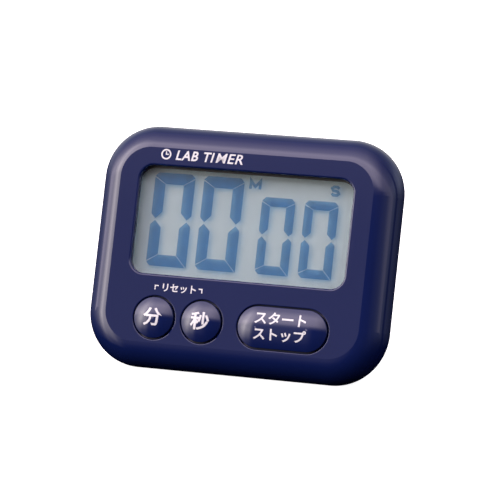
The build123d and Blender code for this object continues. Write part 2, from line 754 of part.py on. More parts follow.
with BuildPart() as battery_positive_contact:
    contact_plate(bay_right - 0.3 - contact_t)
    with BuildSketch(across(cell_right, cell_u, cell_d)) as dimple:
        Circle(1.5)
    extrude(dimple.sketch, amount=bay_right - 0.3 - contact_t / 2 - cell_right)
    battery_positive_contact.part.label = "battery_positive_contact"

negative_x = bay_left + 0.1
spring_length = cell_left - negative_x - contact_t - spring_wire_r
with BuildPart() as battery_negative_contact:
    contact_plate(negative_x)
    with BuildLine() as coil:
        Helix(pitch=spring_length / 3.5, height=spring_length - spring_wire_r, radius=spring_big_r,
              center=place(0, cell_u, cell_d) + Vector(negative_x + contact_t + 0.2, 0, 0),
              direction=(1, 0, 0),
              cone_angle=-degrees(atan2(spring_big_r - spring_small_r, spring_length)))
    with BuildSketch(Plane(origin=coil.line @ 0, z_dir=coil.line % 0)) as wire:
        Circle(spring_wire_r)
    sweep(wire.sketch, path=coil.line, is_frenet=True)
    battery_negative_contact.part.label = "battery_negative_contact"

# ---------------------------------------------------------------- cell door
with BuildPart() as battery_door:
    block(door_left, door_right, door_low, door_high, door_front, case_depth)
    for x in hook_xs:
        block(x - hook_w / 2, x + hook_w / 2, door_low, door_low + hook_leg,
              door_front + gap - 0.15 - hook_t, door_front)
        block(x - hook_w / 2, x + hook_w / 2, door_low - hook_reach, door_low,
              door_front - gap - 0.15 - hook_t, door_front - gap - 0.15)
    block(door_x - tongue_w / 2, door_x + tongue_w / 2, door_high - tongue_t, door_high,
          door_front - tongue_length, door_front)
    # finger ridges by the top edge
    for row in range(4):
        u = door_high - 2.2 - 1.5 * row
        block(door_x - 5.0, door_x + 5.0, u - 0.35, u + 0.35, case_depth - 0.35, case_depth,
              Mode.SUBTRACT)
    battery_door.part.label = "battery_door"

# ---------------------------------------------------------------- stand leg
HINGE = place(0, hinge_u, hinge_d)
LEG = tilted(lean - open_angle, HINGE)
LEG_SIDE = Plane(origin=HINGE, x_dir=LEG.y_dir, z_dir=(1, 0, 0))
leg_back = hinge_d - case_depth  # the leg's outer face, from the hinge, towards the user
with BuildPart() as stand_leg:
    with BuildSketch(LEG_SIDE) as leg_section:
        Circle(barrel_r)
        with Locations(((heel - leg_length + foot_r) / 2, leg_back + foot_r)):
            Rectangle(heel + leg_length - foot_r, leg_t)
        with Locations((foot_r - leg_length, leg_back + foot_r)):
            Circle(foot_r)
    extrude(leg_section.sketch, amount=leg_w / 2, both=True)
    with BuildSketch(LEG) as leg_outline:
        with Locations((0, 10.0 - leg_length / 2)):
            RectangleRounded(leg_w, leg_length + 20.0, 3.0)
    extrude(leg_outline.sketch, amount=2 * barrel_r, both=True, mode=Mode.INTERSECT)
    with BuildSketch(LEG.offset(leg_back + leg_t)) as leg_hollows:
        with Locations(*[(x, -leg_length / 2 - 0.5) for x in (-10.6, 0.0, 10.6)]):
            RectangleRounded(9.0, leg_length - 11.0, 1.2)
    extrude(leg_hollows.sketch, amount=-1.0, mode=Mode.SUBTRACT)
    with BuildSketch(LEG.offset(leg_back)) as grip_lines:
        with Locations(*[(0, 3.6 + 1.6 * row - leg_length) for row in range(3)]):
            Rectangle(16.0, 0.7)
    extrude(grip_lines.sketch, amount=0.3, mode=Mode.SUBTRACT)
    with BuildSketch(LEG_SIDE) as hinge_pins:
        Circle(pin_r)
    extrude(hinge_pins.sketch, amount=leg_w / 2 + pin_length, both=True)
    stand_leg.part.label = "stand_leg"

# ---------------------------------------------------------------- magnets
with BuildPart() as magnet_left:
    disc([(-magnet_x, magnet_u)], magnet_r, well_floor, case_depth)
    magnet_left.part.label = "magnet_left"

with BuildPart() as magnet_right:
    disc([(magnet_x, magnet_u)], magnet_r, well_floor, case_depth)
    magnet_right.part.label = "magnet_right"

# ---------------------------------------------------------------- set on the bench and write
pieces = [
    front_case, rear_case, display_window, window_adhesive, lcd_front_polariser, lcd_front_glass,
    lcd_seal, lcd_segments, lcd_rear_glass, lcd_reflector, lcd_frame, zebra_strip, circuit_board,
    switch_pads, chip_blob, watch_crystal, smd_parts, capacitor, board_screws, case_screws,
    minute_button, second_button, start_stop_button, keypad_sheet, *domes, *pills, buzzer_disc,
    buzzer_ceramic, buzzer_springs, battery_cell, battery_positive_contact,
    battery_negative_contact, battery_door, stand_leg, magnet_left, magnet_right,
]
boxes = [piece.part.bounding_box() for piece in pieces]
front_y = min(box.min.Y for box in boxes)
back_y = max(box.max.Y for box in boxes)
bench_z = min(box.min.Z for box in boxes)
to_bench = Location((0, -(front_y + back_y) / 2, -bench_z))

os.makedirs("parts", exist_ok=True)
for piece in pieces:
    name = piece.part.label
    standing = piece.part.moved(to_bench)
    standing.label = name
    export_step(standing, f"parts/{name}.step")
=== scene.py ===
"""Bench timer: its finishes, its printing, an arrow on its cell door, and a plain studio.

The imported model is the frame. The face of the timer leans back, so places on it are given as
(x, u, d) in millimetres: x to the right, u up the face from its middle, d behind the face.
"""

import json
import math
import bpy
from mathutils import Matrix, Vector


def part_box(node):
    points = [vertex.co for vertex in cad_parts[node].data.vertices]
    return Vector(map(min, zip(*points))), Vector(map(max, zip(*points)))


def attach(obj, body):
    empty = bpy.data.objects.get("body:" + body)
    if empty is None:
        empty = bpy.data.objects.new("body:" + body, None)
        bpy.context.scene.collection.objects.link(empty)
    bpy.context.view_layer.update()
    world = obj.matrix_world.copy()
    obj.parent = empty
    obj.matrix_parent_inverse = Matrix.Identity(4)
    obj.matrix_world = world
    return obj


bl_info = {
    "name": "Bench Timer",
    "version": (1, 0, 0),
    "blender": (4, 5, 0),
    "location": "3D View > Sidebar > Timer",
    "description": "Finishes, printing and studio for a bench timer on its packed frame",
    "category": "Object",
}

import bmesh
import bpy
from bpy.props import FloatProperty, FloatVectorProperty, PointerProperty, StringProperty
from mathutils import Matrix, Vector
from mathutils.bvhtree import BVHTree

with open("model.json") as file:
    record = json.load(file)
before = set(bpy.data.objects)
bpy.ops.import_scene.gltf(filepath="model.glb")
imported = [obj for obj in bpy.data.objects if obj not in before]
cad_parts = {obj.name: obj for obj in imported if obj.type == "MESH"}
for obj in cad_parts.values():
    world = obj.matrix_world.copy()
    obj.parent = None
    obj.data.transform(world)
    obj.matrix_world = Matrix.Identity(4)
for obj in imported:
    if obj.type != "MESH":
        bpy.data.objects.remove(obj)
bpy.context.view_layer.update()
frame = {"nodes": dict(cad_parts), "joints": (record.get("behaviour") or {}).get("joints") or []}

MM = 0.001
PRESS = next(joint for joint in frame["joints"] if joint["name"] == "minute_press")
INWARD = Vector(PRESS["axis"]).normalized()
UP = Vector((0, -INWARD.z, INWARD.y))


def reach(node, direction):
    """Lowest and highest measure of a CAD node along a direction, in metres."""
    along = [vertex.co.dot(direction) for vertex in frame["nodes"][node].data.vertices]
    return min(along), max(along)


FACE_D = reach("front_case", INWARD)[0]
BACK_D = reach("rear_case", INWARD)[1]
CASE_DEPTH = (BACK_D - FACE_D) / MM
FACE_U = sum(reach("front_case", UP)) / 2


def place(x, u, d=0.0):
    """World point of a place on the face, all in millimetres."""
    return Vector((x * MM, 0, 0)) + UP * (FACE_U + u * MM) + INWARD * (FACE_D + d * MM)


def middle(node):
    """(x, u) of the middle of a CAD node, in millimetres on the face."""
    low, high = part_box(node)
    return (low.x + high.x) / 2 / MM, (sum(reach(node, UP)) / 2 - FACE_U) / MM


# ---------------------------------------------------------------- sizes and colours
# millimetres on the face; a box is (x0, x1, u0, u1)
TITLE_U = (24.35, 27.1)
TITLE_HEAD_X = (-21.4, -9.95)
TITLE_TAIL_X = (-9.5, -1.5)
TITLE_TAIL_LETTERS = 3  # set apart, for the last two strokes of the head and tail would touch
TITLE_SLANT = 0.22
TITLE_SPACING = 1.1

CLOCK_PLACE = (-24.3, 25.75)
CLOCK_OUTER_R = 1.5
CLOCK_INNER_R = 1.08
HAND_HALF_W = 0.16
LONG_HAND = 0.85
SHORT_HAND = 0.72
HAND_GAP = 0.001  # keeps the two hands from sharing an edge

RESET_WORD_BOX = (-20.9, -11.05, -13.0, -10.7)
BRACKET_XS = (-23.3, -9.1)
BRACKET_U = (-12.6, -11.3)
BRACKET_ARM = 1.15
BRACKET_LINE = 0.32

ROUND_WORD_BOX = (-2.75, 2.75, -2.4, 2.7)  # from the middle of its key, as the next two
START_WORD_BOX = (-7.8, 7.1, 0.9, 4.4)
STOP_WORD_BOX = (-7.8, 7.4, -3.6, -0.1)
KEY_WORD_BOLD = 0.022
ROUND_CROWN_STEP = 0.4
LONG_CROWN_STEP = 0.5

ARROW = ((-12.0, 1.4), (-14.2, 1.4), (-13.1, 4.0))  # from the middle of the cell door
ARROW_HEIGHT = 0.2
ARROW_ROOT = 0.05

RAY_START = 20.0  # how far clear of the case the search for its surface starts
AIM_RIGHT = 3.345
AIM_UP = 0.418
FLOOR_SIZE = 4.0  # metres
FLOOR_GREY = 0.9


class TimerFinish(bpy.types.PropertyGroup):
    shell_colour: FloatVectorProperty(
        name="Shell colour", description="Colour of the moulded case and keys",
        default=(0.0040, 0.0092, 0.058), size=3, min=0, max=1, subtype="COLOR")
    print_colour: FloatVectorProperty(
        name="Print colour", description="Colour of the ink on the case and keys",
        default=(0.60, 0.60, 0.61), size=3, min=0, max=1, subtype="COLOR")
    mark_colour: FloatVectorProperty(
        name="Mark colour", description="Light that a lit mark of the display lets through",
        default=(0.52, 0.71, 0.86), size=3, min=0, max=1, subtype="COLOR")
    film_colour: FloatVectorProperty(
        name="Film colour", description="Colour of the reflecting film behind the display",
        default=(0.78, 0.92, 0.94), size=3, min=0, max=1, subtype="COLOR")
    ink_height: FloatProperty(
        name="Ink height", description="How far the ink stands out of the surface",
        default=0.02 * MM, min=0, unit="LENGTH", precision=6)
    title: StringProperty(
        name="Title", description="Words printed above the display", default="LAB TIMER")


class TimerStudio(bpy.types.PropertyGroup):
    azimuth: FloatProperty(
        name="Azimuth", description="How far the camera stands to the right of the front",
        default=math.radians(18.3), unit="ROTATION")
    elevation: FloatProperty(
        name="Elevation", description="How far the camera looks down",
        default=math.radians(14.7), unit="ROTATION")
    distance: FloatProperty(
        name="Distance", description="From the camera to what it looks at",
        default=0.8645, min=0.1, unit="LENGTH")
    lens: FloatProperty(
        name="Lens", description="Focal length in millimetres", default=223.2, min=10)
    brightness: FloatProperty(
        name="Brightness", description="Scale of every soft light", default=1.0, min=0)


# ---------------------------------------------------------------- shader maths
class Wire:
    """A node's output, with arithmetic that adds Math nodes to its tree."""

    def __init__(self, tree, socket):
        self.tree = tree
        self.socket = socket

    def maths(self, operation, first, second):
        return add_node(self.tree, "ShaderNodeMath", {"operation": operation},
                        {0: first, 1: second})

    def __add__(self, other):
        return self.maths("ADD", self, other)

    def __radd__(self, other):
        return self.maths("ADD", other, self)

    def __sub__(self, other):
        return self.maths("SUBTRACT", self, other)

    def __rsub__(self, other):
        return self.maths("SUBTRACT", other, self)

    def __mul__(self, other):
        return self.maths("MULTIPLY", self, other)

    def __rmul__(self, other):
        return self.maths("MULTIPLY", other, self)

    def __gt__(self, other):
        return self.maths("GREATER_THAN", self, other)

    def __lt__(self, other):
        return self.maths("LESS_THAN", self, other)

    def __abs__(self):
        return self.maths("ABSOLUTE", self, 0.0)


def add_node(tree, kind, settings=None, sockets=None, output=0):
    """Adds a node: its settings first, then the values or links of its sockets."""
    node = tree.nodes.new(kind)
    for name, value in (settings or {}).items():
        if name == "stops":
            elements = node.color_ramp.elements
            elements[0].color = value[0][1]
            elements[-1].color = value[-1][1]
            for spot, colour in value[1:-1]:
                elements.new(spot).color = colour
        else:
            setattr(node, name, value)
    for name, value in (sockets or {}).items():
        if isinstance(value, Wire):
            tree.links.new(value.socket, node.inputs[name])
        else:
            node.inputs[name].default_value = value
    return Wire(tree, node.outputs[output] if node.outputs else None)


def new_tree(name):
    """An empty material and its node tree."""
    material = bpy.data.materials.new(name)
    material.use_nodes = True
    material.node_tree.nodes.clear()
    return material, material.node_tree


def close_tree(tree, shader):
    """Sends a shader to the material's surface."""
    add_node(tree, "ShaderNodeOutputMaterial", sockets={"Surface": shader})


def object_point(tree, output="Object"):
    """Where a point lies on its own object or, for the room, in which direction it is seen."""
    node = tree.nodes.new("ShaderNodeTexCoord")
    return Wire(tree, node.outputs[output])


def noise(tree, size, detail=2.0, stretch=(1, 1, 1)):
    """Soft noise from 0 to 1, whose features are about size metres across."""
    spot = add_node(tree, "ShaderNodeMapping", sockets={"Vector": object_point(tree),
                                                        "Scale": stretch})
    return add_node(tree, "ShaderNodeTexNoise", sockets={"Vector": spot, "Scale": 1 / size,
                                                         "Detail": detail})


def blend(tree, amount, first, second):
    """Mixes two colours."""
    return add_node(tree, "ShaderNodeMix", {"data_type": "RGBA"},
                    {0: amount, 6: first, 7: second}, output=2)


def opaque(colour, share=1.0):
    """A colour scaled by share, with alpha."""
    return (*[min(1.0, channel * share) for channel in colour[:3]], 1.0)


def bump(tree, height, depth):
    """Normal from a height of 0 to 1 that is depth metres deep."""
    return add_node(tree, "ShaderNodeBump",
                    sockets={"Height": height, "Strength": 1.0, "Distance": depth})


def solid_finish(name, colour, roughness, haze=0.04, cloud=0.06, grain=0.0006, relief=2e-6,
                 metal=0.0, sheen=0.0, stretch=(1, 1, 1), accent=None, ior=1.5):
    """A moulded, printed or plated surface: clouded colour, hazy gloss and a fine relief."""
    material, tree = new_tree(name)
    mottle = noise(tree, 0.012, 3.0, stretch)
    smear = noise(tree, 0.004, 4.0, stretch)
    tooth = noise(tree, grain, 3.0, stretch)
    tone = blend(tree, mottle, opaque(colour, 1 - cloud), opaque(colour, 1 + cloud))
    if accent:
        tone = accent(tree, tone)
    close_tree(tree, add_node(tree, "ShaderNodeBsdfPrincipled", sockets={
        "Base Color": tone,
        "Roughness": smear * haze + (roughness - haze / 2),
        "Metallic": metal,
        "IOR": ior,
        "Sheen Weight": sheen,
        "Normal": bump(tree, tooth, relief),
    }))
    return material


def clear_finish(name, tint, roughness, ior, haze=0.02):
    """A clear sheet: tinted light goes straight through, and its skin mirrors by Fresnel."""
    material, tree = new_tree(name)
    through = add_node(tree, "ShaderNodeBsdfTransparent", sockets={"Color": opaque(tint)})
    smear = noise(tree, 0.005, 4.0)
    mirror = add_node(tree, "ShaderNodeBsdfAnisotropic",
                      sockets={"Color": (1, 1, 1, 1), "Roughness": smear * haze + roughness})
    inside = add_node(tree, "ShaderNodeNewGeometry", output="Backfacing")
    skin = add_node(tree, "ShaderNodeFresnel", sockets={"IOR": ior}) * (1 - inside)
    close_tree(tree, add_node(tree, "ShaderNodeMixShader", sockets={0: skin, 1: through, 2: mirror}))
    return material


def bonded_finish(name, tint, thin_tint, size):
    """A layer glued between others: no skin of its own, and a slightly uneven tint."""
    material, tree = new_tree(name)
    full = add_node(tree, "ShaderNodeBsdfTransparent", sockets={"Color": opaque(tint)})
    thin = add_node(tree, "ShaderNodeBsdfTransparent", sockets={"Color": opaque(thin_tint)})
    uneven = noise(tree, size, 2.0)
    close_tree(tree, add_node(tree, "ShaderNodeMixShader", sockets={0: uneven, 1: full, 2: thin}))
    return material


def dress(material, *nodes):
    """Gives CAD nodes a finish."""
    for node in nodes:
        for slot in frame["nodes"][node].material_slots:
            slot.material = material


# ---------------------------------------------------------------- modelling
def new_piece(name, bm, material, body):
    """Turns a bmesh in world metres into a piece that rides on a body."""
    bmesh.ops.remove_doubles(bm, verts=bm.verts, dist=1e-8)
    bmesh.ops.recalc_face_normals(bm, faces=bm.faces)
    mesh = bpy.data.meshes.new(name)
    bm.to_mesh(mesh)
    bm.free()
    mesh.materials.append(material)
    piece = bpy.data.objects.new(name, mesh)
    bpy.context.scene.collection.objects.link(piece)
    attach(piece, body)
    return piece


def shifted(box, x, u):
    """A box moved by x and u."""
    return box[0] + x, box[1] + x, box[2] + u, box[3] + u


def join(target, source):
    """Adds one bmesh to another."""
    spare = bpy.data.meshes.new("spare")
    source.to_mesh(spare)
    source.free()
    target.from_mesh(spare)
    bpy.data.meshes.remove(spare)


def extent(bm):
    """Least and greatest x and y of a bmesh."""
    xs = [vertex.co.x for vertex in bm.verts]
    ys = [vertex.co.y for vertex in bm.verts]
    return min(xs), max(xs), min(ys), max(ys)


def lettering(words, box, bold=0.0, slant=0.0, spacing=1.0):
    """A word as a thin slab from z 0 to 1, in millimetres, that fills box (x0, x1, u0, u1)."""
    curve = bpy.data.curves.new("lettering", "FONT")
    curve.body = words
    curve.offset = bold
    curve.shear = slant
    curve.space_character = spacing
    curve.extrude = 0.5
    curve.resolution_u = 4
    holder = bpy.data.objects.new("lettering", curve)
    bpy.context.scene.collection.objects.link(holder)
    mesh = bpy.data.meshes.new_from_object(holder)
    bpy.data.objects.remove(holder)
    bpy.data.curves.remove(curve)
    bm = bmesh.new()
    bm.from_mesh(mesh)
    bpy.data.meshes.remove(mesh)
    bmesh.ops.remove_doubles(bm, verts=bm.verts, dist=1e-5)
    x0, x1, y0, y1 = extent(bm)
    bmesh.ops.translate(bm, verts=bm.verts, vec=(-(x0 + x1) / 2, -(y0 + y1) / 2, 0.5))
    bmesh.ops.scale(bm, verts=bm.verts,
                    vec=((box[1] - box[0]) / (x1 - x0), (box[3] - box[2]) / (y1 - y0), 1))
    bmesh.ops.translate(bm, verts=bm.verts,
                        vec=((box[0] + box[1]) / 2, (box[2] + box[3]) / 2, 0))
    return bm


def thicken(bm):
    """Raises flat faces at z 0 into a slab that reaches z 1."""
    raised = bmesh.ops.extrude_face_region(bm, geom=bm.faces[:], use_keep_orig=True)
    tops = [item for item in raised["geom"] if isinstance(item, bmesh.types.BMVert)]
    bmesh.ops.translate(bm, verts=tops, vec=(0, 0, 1))
    return bm


def slab(points):
    """A flat outline as a slab from z 0 to 1."""
    bm = bmesh.new()
    bm.faces.new([bm.verts.new((x, u, 0)) for x, u in points])
    return thicken(bm)


def bar(x0, x1, u0, u1):
    """An upright rectangle as a slab from z 0 to 1."""
    return slab([(x0, u0), (x1, u0), (x1, u1), (x0, u1)])


def ring(x, u, outer, inner, segments=48):
    """A flat ring as a slab from z 0 to 1."""
    bm = bmesh.new()
    bmesh.ops.create_circle(bm, cap_ends=True, radius=outer, segments=segments,
                            matrix=Matrix.Translation((x, u, 0)))
    bmesh.ops.inset_region(bm, faces=bm.faces[:], thickness=outer - inner, use_boundary=True,
                           use_even_offset=True)
    centre = [face for face in bm.faces if len(face.verts) == segments]
    bmesh.ops.delete(bm, geom=centre, context="FACES")
    return thicken(bm)


def cut_grid(bm, step):
    """Cuts a slab into a grid, so that it can follow a curved surface."""
    x0, x1, y0, y1 = extent(bm)
    for low, high, normal in ((x0, x1, Vector((1, 0, 0))), (y0, y1, Vector((0, 1, 0)))):
        for count in range(1, math.ceil((high - low) / step)):
            geometry = bm.verts[:] + bm.edges[:] + bm.faces[:]
            bmesh.ops.bisect_plane(bm, geom=geometry, dist=1e-6,
                                   plane_co=normal * (low + count * step), plane_no=normal)


def lay_on(bm, node, height, root=0.01, from_behind=False):
    """Moves a slab from the face's millimetres onto the surface of a CAD node."""
    mesh = frame["nodes"][node].data
    tree = BVHTree.FromPolygons([vertex.co for vertex in mesh.vertices],
                                [face.vertices for face in mesh.polygons])
    look = -INWARD if from_behind else INWARD
    start = CASE_DEPTH + RAY_START if from_behind else -RAY_START
    for vertex in bm.verts:
        spot = tree.ray_cast(place(vertex.co.x, vertex.co.y, start), look)[0]
        if spot is None:
            raise RuntimeError(f"a print runs off {node}")
        vertex.co = spot - look * (vertex.co.z * (height + root * MM) - root * MM)


# ---------------------------------------------------------------- pieces
class TIMER_OT_shells(bpy.types.Operator):
    """Gloss navy front shell and a satin rear shell, door and stand leg"""
    bl_idname = "timer.shells"
    bl_label = "Shells"

    def execute(self, context):
        navy = context.scene.timer_finish.shell_colour
        gloss = solid_finish("navy_gloss", navy, 0.06, haze=0.03, cloud=0.05, grain=0.0035,
                             relief=1.2e-6)
        satin = solid_finish("navy_satin", navy, 0.36, haze=0.08, cloud=0.08, grain=0.00035,
                             relief=1.4e-5)
        dress(gloss, "front_case")
        dress(satin, "rear_case", "battery_door", "stand_leg")
        return {"FINISHED"}


class TIMER_OT_keys(bpy.types.Operator):
    """Gloss caps of the three keys"""
    bl_idname = "timer.keys"
    bl_label = "Keys"

    def execute(self, context):
        navy = context.scene.timer_finish.shell_colour
        gloss = solid_finish("key_gloss", navy, 0.07, haze=0.04, cloud=0.04, grain=0.002,
                             relief=8e-7)
        dress(gloss, "minute_button", "second_button", "start_stop_button")
        return {"FINISHED"}


class TIMER_OT_display(bpy.types.Operator):
    """Window pane and the layers of the display"""
    bl_idname = "timer.display"
    bl_label = "Display"

    def execute(self, context):
        finish = context.scene.timer_finish
        dress(clear_finish("clear_pane", (0.985, 0.99, 0.99), 0.01, 1.49), "display_window")
        dress(clear_finish("polariser_film", (0.96, 0.97, 0.98), 0.22, 1.35),
              "lcd_front_polariser")
        dress(bonded_finish("display_glass", (0.985, 0.99, 0.985), (0.99, 0.995, 0.99), 0.02),
              "lcd_front_glass", "lcd_rear_glass")
        mark = finish.mark_colour
        dress(bonded_finish("lit_mark", mark, opaque(mark, 1.05), 0.0015), "lcd_segments")
        dress(solid_finish("seal_epoxy", (0.62, 0.60, 0.50), 0.45), "lcd_seal")
        dress(solid_finish("reflecting_film", finish.film_colour, 0.55, haze=0.1, cloud=0.03,
                           grain=0.00022, relief=6e-6), "lcd_reflector")
        # The black adhesive tape round the window is a real part. Its band along the top of the window
        # also stands in for the shadow that the window's rim casts on the display: painted shadow.
        dress(solid_finish("black_tape_and_painted_shadow", (0.012, 0.012, 0.013), 0.6, grain=0.0004, relief=6e-6),
              "window_adhesive")
        dress(solid_finish("frame_plastic", (0.72, 0.72, 0.70), 0.42, grain=0.0005, relief=6e-6),
              "lcd_frame")
        return {"FINISHED"}


def layered(tree, tone):
    """Black layers across the strip, every tenth of a millimetre."""
    bands = add_node(tree, "ShaderNodeTexWave", {"bands_direction": "X"},
                     {"Vector": object_point(tree), "Scale": 1500.0, "Distortion": 0.2})
    return blend(tree, bands > 0.5, tone, (0.02, 0.02, 0.02, 1))


def traced(tree, tone):
    """Copper lines under the solder mask, along and across the board."""
    along = add_node(tree, "ShaderNodeTexWave", {"bands_direction": "X"},
                     {"Vector": object_point(tree), "Scale": 105.0, "Distortion": 1.2})
    across = add_node(tree, "ShaderNodeTexWave", {"bands_direction": "Z"},
                      {"Vector": object_point(tree), "Scale": 90.0, "Distortion": 0.9})
    region = noise(tree, 0.02, 1.0) > 0.5
    lines = region * (along > 0.86) + (1 - region) * (across > 0.88)
    return blend(tree, lines, tone, (0.10, 0.30, 0.09, 1))


class TIMER_OT_board(bpy.types.Operator):
    """Circuit board, its parts, the rubber keypad and the buzzer"""
    bl_idname = "timer.board"
    bl_label = "Board"

    def execute(self, context):
        dress(solid_finish("solder_mask", (0.02, 0.14, 0.05), 0.28, accent=traced), "circuit_board")
        dress(solid_finish("zebra_rubber", (0.55, 0.52, 0.48), 0.7, accent=layered), "zebra_strip")
        dress(solid_finish("carbon_ink", (0.02, 0.02, 0.022), 0.62, grain=0.0003, relief=8e-6),
              "switch_pads", "minute_pill", "second_pill", "start_stop_pill")
        dress(solid_finish("potting_epoxy", (0.012, 0.012, 0.013), 0.22, grain=0.002, relief=2e-5),
              "chip_blob")
        dress(solid_finish("tinned", (0.70, 0.70, 0.72), 0.3, metal=1.0, grain=0.0004), "smd_parts",
              "watch_crystal")
        dress(solid_finish("sleeve", (0.02, 0.025, 0.05), 0.3), "capacitor")
        dress(solid_finish("zinc_plate", (0.60, 0.60, 0.58), 0.28, metal=1.0, grain=0.0005,
                           relief=4e-6), "board_screws", "case_screws")
        dress(solid_finish("keypad_rubber", (0.33, 0.33, 0.34), 0.75, sheen=0.15, grain=0.0004,
                           relief=8e-6),
              "keypad_sheet", "minute_dome", "second_dome", "start_stop_dome")
        dress(solid_finish("brass", (0.72, 0.52, 0.22), 0.26, metal=1.0, stretch=(1, 6, 1)),
              "buzzer_disc")
        dress(solid_finish("silvered_ceramic", (0.66, 0.66, 0.64), 0.45, metal=0.6),
              "buzzer_ceramic")
        return {"FINISHED"}


def wrapped(tree, tone):
    """A printed band round the positive end of the cell."""
    x = add_node(tree, "ShaderNodeSeparateXYZ", sockets={0: object_point(tree)})
    low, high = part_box("battery_cell")
    band = x > (high.x - 0.3 * (high.x - low.x))
    cap = x > (high.x - 1.2 * MM)
    printed = blend(tree, band, tone, (0.60, 0.36, 0.09, 1))
    return blend(tree, cap, printed, (0.62, 0.62, 0.62, 1))


class TIMER_OT_power(bpy.types.Operator):
    """Cell, its contacts, the magnets and the sprung strips"""
    bl_idname = "timer.power"
    bl_label = "Power"

    def execute(self, context):
        dress(solid_finish("cell_jacket", (0.03, 0.03, 0.035), 0.25, accent=wrapped),
              "battery_cell")
        dress(solid_finish("nickel", (0.66, 0.65, 0.62), 0.22, metal=1.0, grain=0.0006,
                           relief=3e-6), "magnet_left", "magnet_right",
              "battery_positive_contact", "battery_negative_contact")
        dress(solid_finish("spring_bronze", (0.60, 0.42, 0.24), 0.3, metal=1.0), "buzzer_springs")
        return {"FINISHED"}


def ink_finish(context):
    """The one ink of every print."""
    made = bpy.data.materials.get("white_ink")
    colour = context.scene.timer_finish.print_colour
    return made or solid_finish("white_ink", colour, 0.38, haze=0.08, cloud=0.02, grain=0.00012,
                                relief=3e-6)


class TIMER_OT_face_print(bpy.types.Operator):
    """Title with a small clock above the display, and the reset mark above the round keys"""
    bl_idname = "timer.face_print"
    bl_label = "Face print"

    def execute(self, context):
        finish = context.scene.timer_finish
        ink = ink_finish(context)
        head = finish.title[:-TITLE_TAIL_LETTERS]
        tail = finish.title[-TITLE_TAIL_LETTERS:]
        bm = lettering(head, (*TITLE_HEAD_X, *TITLE_U), bold=0.020, slant=TITLE_SLANT,
                       spacing=TITLE_SPACING)
        join(bm, lettering(tail, (*TITLE_TAIL_X, *TITLE_U), bold=0.012, slant=TITLE_SLANT,
                           spacing=TITLE_SPACING))
        lay_on(bm, "front_case", finish.ink_height)
        new_piece("title_print", bm, ink, "case")

        x, u = CLOCK_PLACE
        half = HAND_HALF_W
        bm = ring(x, u, CLOCK_OUTER_R, CLOCK_INNER_R)
        join(bm, bar(x - half, x + half, u - half, u + LONG_HAND))
        join(bm, bar(x + half + HAND_GAP, x + SHORT_HAND, u - half, u + half))
        lay_on(bm, "front_case", finish.ink_height)
        new_piece("clock_print", bm, ink, "case")

        bm = lettering("リセット", RESET_WORD_BOX, bold=0.02)
        low, top = BRACKET_U
        for corner, inward in zip(BRACKET_XS, (1, -1)):
            leg = corner + inward * BRACKET_LINE
            arm = corner + inward * BRACKET_ARM
            under = top - BRACKET_LINE
            join(bm, slab([(corner, low), (leg, low), (leg, under), (arm, under), (arm, top),
                           (corner, top)]))
        lay_on(bm, "front_case", finish.ink_height)
        new_piece("reset_print", bm, ink, "case")
        return {"FINISHED"}


class TIMER_OT_key_print(bpy.types.Operator):
    """Words on the crowned caps of the keys: minute, second, start and stop"""
    bl_idname = "timer.key_print"
    bl_label = "Key print"

    def execute(self, context):
        finish = context.scene.timer_finish
        ink = ink_finish(context)
        for key, word in (("minute", "分"), ("second", "秒")):
            x, u = middle(key + "_button")
            bm = lettering(word, shifted(ROUND_WORD_BOX, x, u), bold=KEY_WORD_BOLD)
            cut_grid(bm, ROUND_CROWN_STEP)
            lay_on(bm, key + "_button", finish.ink_height)
            new_piece(key + "_print", bm, ink, key + "_key")
        x, u = middle("start_stop_button")
        bm = lettering("スタート", shifted(START_WORD_BOX, x, u), bold=KEY_WORD_BOLD)
        join(bm, lettering("ストップ", shifted(STOP_WORD_BOX, x, u), bold=KEY_WORD_BOLD))
        cut_grid(bm, LONG_CROWN_STEP)
        lay_on(bm, "start_stop_button", finish.ink_height)
        new_piece("start_stop_print", bm, ink, "start_stop_key")
        return {"FINISHED"}


class TIMER_OT_back_marks(bpy.types.Operator):
    """Raised arrow moulded into the cell door"""
    bl_idname = "timer.back_marks"
    bl_label = "Back marks"

    def execute(self, context):
        satin = bpy.data.materials["navy_satin"]
        x, u = middle("battery_door")
        bm = slab([(x + across, u + up) for across, up in ARROW])
        lay_on(bm, "battery_door", ARROW_HEIGHT * MM, root=ARROW_ROOT, from_behind=True)
        new_piece("door_arrow", bm, satin, "door")
        return {"FINISHED"}


# ---------------------------------------------------------------- studio
WARM, LILAC, COOL, WHITE = (1, 0.90, 0.86), (1, 0.86, 0.97), (0.72, 0.78, 1), (1, 1, 1)
# radiance round the horizon, by degrees to the left of straight in front of the timer
AROUND = (
    (-180, 0.5, WHITE), (-161, 0.5, COOL), (-145, 0.7, COOL), (-131, 1.1, COOL),
    (-112, 0.9, COOL), (-108, 0.15, COOL), (-103, 0.15, COOL), (-97, 1.0, COOL),
    (-86, 0.7, COOL), (-72, 0.5, COOL), (-60, 0.3, COOL), (-45, 0.2, COOL), (-30, 0.05, WHITE),
    (-2, 0.03, WHITE), (8, 0.3, WARM), (14, 0.5, WARM), (25, 0.55, WARM), (30, 1.6, WARM),
    (34, 4.0, WARM), (44, 5.5, WARM), (51, 9.0, WARM), (57, 7.0, WARM), (66, 3.3, WARM),
    (75, 2.3, WARM), (84, 1.6, WARM), (97, 0.9, WARM), (120, 0.6, WHITE), (150, 0.5, WHITE),
    (180, 0.5, WHITE),
)
# share of that at each height above the horizon, in degrees
AT_HEIGHT = (
    (-90, 0), (-24, 0), (-10, 0.15), (3, 0.6), (12, 1), (24, 1), (32, 0.6), (45, 0.3), (62, 0), (90, 0),
)
